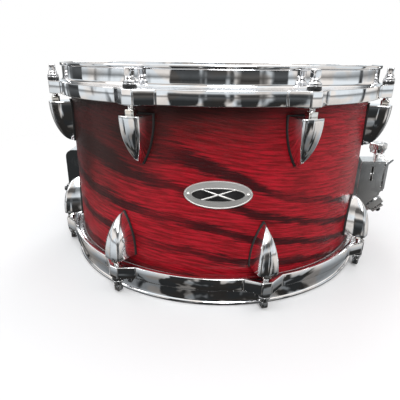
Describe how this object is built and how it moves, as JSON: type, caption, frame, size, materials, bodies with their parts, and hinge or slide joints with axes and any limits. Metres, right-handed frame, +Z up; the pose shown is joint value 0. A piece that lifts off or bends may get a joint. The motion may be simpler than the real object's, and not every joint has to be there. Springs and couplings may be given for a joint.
{
  "type": "snare drum",
  "caption": "Deep wooden snare drum with die-cast hoops, offset pointed lugs, tension rods, heads, throw-off strainer, butt plate and snare wires.",
  "frame": {"origin": "on the drum's axis, level with the lip of the bottom hoop that it stands on", "axes": "+Z up along the drum's axis towards the batter head, -Y towards the badge, +X towards the strainer"},
  "size_m": [0.4089, 0.3658, 0.207],
  "materials": {
    "stained_wood": "transparent red stain over open-grained ash, dark burst at the edges, satin lacquer",
    "coated_film": "coated drum film, rough white",
    "clear_film": "thin hazy clear film",
    "flesh_hoop_alloy": "rolled alloy",
    "hoop_chrome": "mirror chrome on a die casting",
    "lug_chrome": "mirror chrome on a casting",
    "rod_chrome": "chromed steel with a rolled thread",
    "badge_silver": "stamped silver plate with dark inlay",
    "fittings_chrome": "polished chrome",
    "strainer_chrome": "polished chrome on machined alloy",
    "knob_chrome": "knurled polished chrome",
    "butt_chrome": "polished chrome on a casting",
    "screw_steel": "plated steel screws",
    "strap_film": "translucent plastic strap",
    "snare_steel": "bright steel wire"
  },
  "bodies": {
    "drum": {"shell": "stained_wood", "batter_head": "coated_film", "batter_flesh_hoop": "flesh_hoop_alloy", "snare_side_head": "clear_film", "snare_side_flesh_hoop": "flesh_hoop_alloy", "top_hoop": "hoop_chrome", "bottom_hoop": "hoop_chrome", "top_lug_1": "lug_chrome", "top_lug_2": "lug_chrome", "top_lug_3": "lug_chrome", "top_lug_4": "lug_chrome", "top_lug_5": "lug_chrome", "top_lug_6": "lug_chrome", "top_lug_7": "lug_chrome", "top_lug_8": "lug_chrome", "bottom_lug_1": "lug_chrome", "bottom_lug_2": "lug_chrome", "bottom_lug_3": "lug_chrome", "bottom_lug_4": "lug_chrome", "bottom_lug_5": "lug_chrome", "bottom_lug_6": "lug_chrome", "bottom_lug_7": "lug_chrome", "bottom_lug_8": "lug_chrome", "badge": "badge_silver", "vent_grommet": "fittings_chrome", "strainer_base": "strainer_chrome", "strainer_screw_1": "screw_steel", "strainer_screw_2": "screw_steel", "butt_plate": "butt_chrome", "butt_jaw": "butt_chrome", "butt_clamp_screw_1": "screw_steel", "butt_clamp_screw_2": "screw_steel", "butt_mount_screw_1": "screw_steel", "butt_mount_screw_2": "screw_steel", "strainer_strap": "strap_film", "butt_strap": "strap_film", "snare_wires": "snare_steel"},
    "top_rod_1": {"top_tension_rod_1": "rod_chrome"},
    "top_rod_2": {"top_tension_rod_2": "rod_chrome"},
    "top_rod_3": {"top_tension_rod_3": "rod_chrome"},
    "top_rod_4": {"top_tension_rod_4": "rod_chrome"},
    "top_rod_5": {"top_tension_rod_5": "rod_chrome"},
    "top_rod_6": {"top_tension_rod_6": "rod_chrome"},
    "top_rod_7": {"top_tension_rod_7": "rod_chrome"},
    "top_rod_8": {"top_tension_rod_8": "rod_chrome"},
    "bottom_rod_1": {"bottom_tension_rod_1": "rod_chrome"},
    "bottom_rod_2": {"bottom_tension_rod_2": "rod_chrome"},
    "bottom_rod_3": {"bottom_tension_rod_3": "rod_chrome"},
    "bottom_rod_4": {"bottom_tension_rod_4": "rod_chrome"},
    "bottom_rod_5": {"bottom_tension_rod_5": "rod_chrome"},
    "bottom_rod_6": {"bottom_tension_rod_6": "rod_chrome"},
    "bottom_rod_7": {"bottom_tension_rod_7": "rod_chrome"},
    "bottom_rod_8": {"bottom_tension_rod_8": "rod_chrome"},
    "tension_knob": {"strainer_knob": "knob_chrome"},
    "carriage": {"strainer_carriage": "strainer_chrome"},
    "throw_lever": {"strainer_lever": "strainer_chrome"},
    "strap_clamp": {"strap_clamp_block": "strainer_chrome", "strap_clamp_jaw": "strainer_chrome", "strap_clamp_screw_1": "screw_steel", "strap_clamp_screw_2": "screw_steel"}
  },
  "joints": [
    {"name": "top_rod_1_turn", "type": "hinge", "parent": "drum", "child": "top_rod_1", "pos_m": [0.069, -0.16658, 0.193], "axis": [0, 0, 1], "continuous": true},
    {"name": "top_rod_2_turn", "type": "hinge", "parent": "drum", "child": "top_rod_2", "pos_m": [0.16658, -0.069, 0.193], "axis": [0, 0, 1], "continuous": true},
    {"name": "top_rod_3_turn", "type": "hinge", "parent": "drum", "child": "top_rod_3", "pos_m": [0.16658, 0.069, 0.193], "axis": [0, 0, 1], "continuous": true},
    {"name": "top_rod_4_turn", "type": "hinge", "parent": "drum", "child": "top_rod_4", "pos_m": [0.069, 0.16658, 0.193], "axis": [0, 0, 1], "continuous": true},
    {"name": "top_rod_5_turn", "type": "hinge", "parent": "drum", "child": "top_rod_5", "pos_m": [-0.069, 0.16658, 0.193], "axis": [0, 0, 1], "continuous": true},
    {"name": "top_rod_6_turn", "type": "hinge", "parent": "drum", "child": "top_rod_6", "pos_m": [-0.16658, 0.069, 0.193], "axis": [0, 0, 1], "continuous": true},
    {"name": "top_rod_7_turn", "type": "hinge", "parent": "drum", "child": "top_rod_7", "pos_m": [-0.16658, -0.069, 0.193], "axis": [0, 0, 1], "continuous": true},
    {"name": "top_rod_8_turn", "type": "hinge", "parent": "drum", "child": "top_rod_8", "pos_m": [-0.069, -0.16658, 0.193], "axis": [0, 0, 1], "continuous": true},
    {"name": "bottom_rod_1_turn", "type": "hinge", "parent": "drum", "child": "bottom_rod_1", "pos_m": [0.04362, -0.17494, 0.014], "axis": [0, 0, 1], "continuous": true},
    {"name": "bottom_rod_2_turn", "type": "hinge", "parent": "drum", "child": "bottom_rod_2", "pos_m": [0.15455, -0.09286, 0.014], "axis": [0, 0, 1], "continuous": true},
    {"name": "bottom_rod_3_turn", "type": "hinge", "parent": "drum", "child": "bottom_rod_3", "pos_m": [0.17494, 0.04362, 0.014], "axis": [0, 0, 1], "continuous": true},
    {"name": "bottom_rod_4_turn", "type": "hinge", "parent": "drum", "child": "bottom_rod_4", "pos_m": [0.09286, 0.15455, 0.014], "axis": [0, 0, 1], "continuous": true},
    {"name": "bottom_rod_5_turn", "type": "hinge", "parent": "drum", "child": "bottom_rod_5", "pos_m": [-0.04362, 0.17494, 0.014], "axis": [0, 0, 1], "continuous": true},
    {"name": "bottom_rod_6_turn", "type": "hinge", "parent": "drum", "child": "bottom_rod_6", "pos_m": [-0.15455, 0.09286, 0.014], "axis": [0, 0, 1], "continuous": true},
    {"name": "bottom_rod_7_turn", "type": "hinge", "parent": "drum", "child": "bottom_rod_7", "pos_m": [-0.17494, -0.04362, 0.014], "axis": [0, 0, 1], "continuous": true},
    {"name": "bottom_rod_8_turn", "type": "hinge", "parent": "drum", "child": "bottom_rod_8", "pos_m": [-0.09286, -0.15455, 0.014], "axis": [0, 0, 1], "continuous": true},
    {"name": "knob_turn", "type": "hinge", "parent": "drum", "child": "tension_knob", "pos_m": [0.199, 0, 0.104], "axis": [0, 0, 1], "range_deg": [-1440, 1440]},
    {"name": "carriage_slide", "type": "slide", "parent": "drum", "child": "carriage", "axis": [0, 0, 1], "range_m": [-0.0032, 0.0032]},
    {"name": "lever_throw", "type": "hinge", "parent": "carriage", "child": "throw_lever", "pos_m": [0.2025, 0, 0.057], "axis": [0, 1, 0], "range_deg": [0, 100]},
    {"name": "clamp_drop", "type": "slide", "parent": "carriage", "child": "strap_clamp", "axis": [0, 0, 1], "range_m": [-0.008, 0], "deforming": ["strainer_strap"]}
  ],
  "couplings": [
    {"joint": "knob_turn", "follows": "carriage_slide", "rad_per_m": 7854},
    {"joint": "lever_throw", "follows": "clamp_drop", "rad_per_m": -218.16}
  ]
}
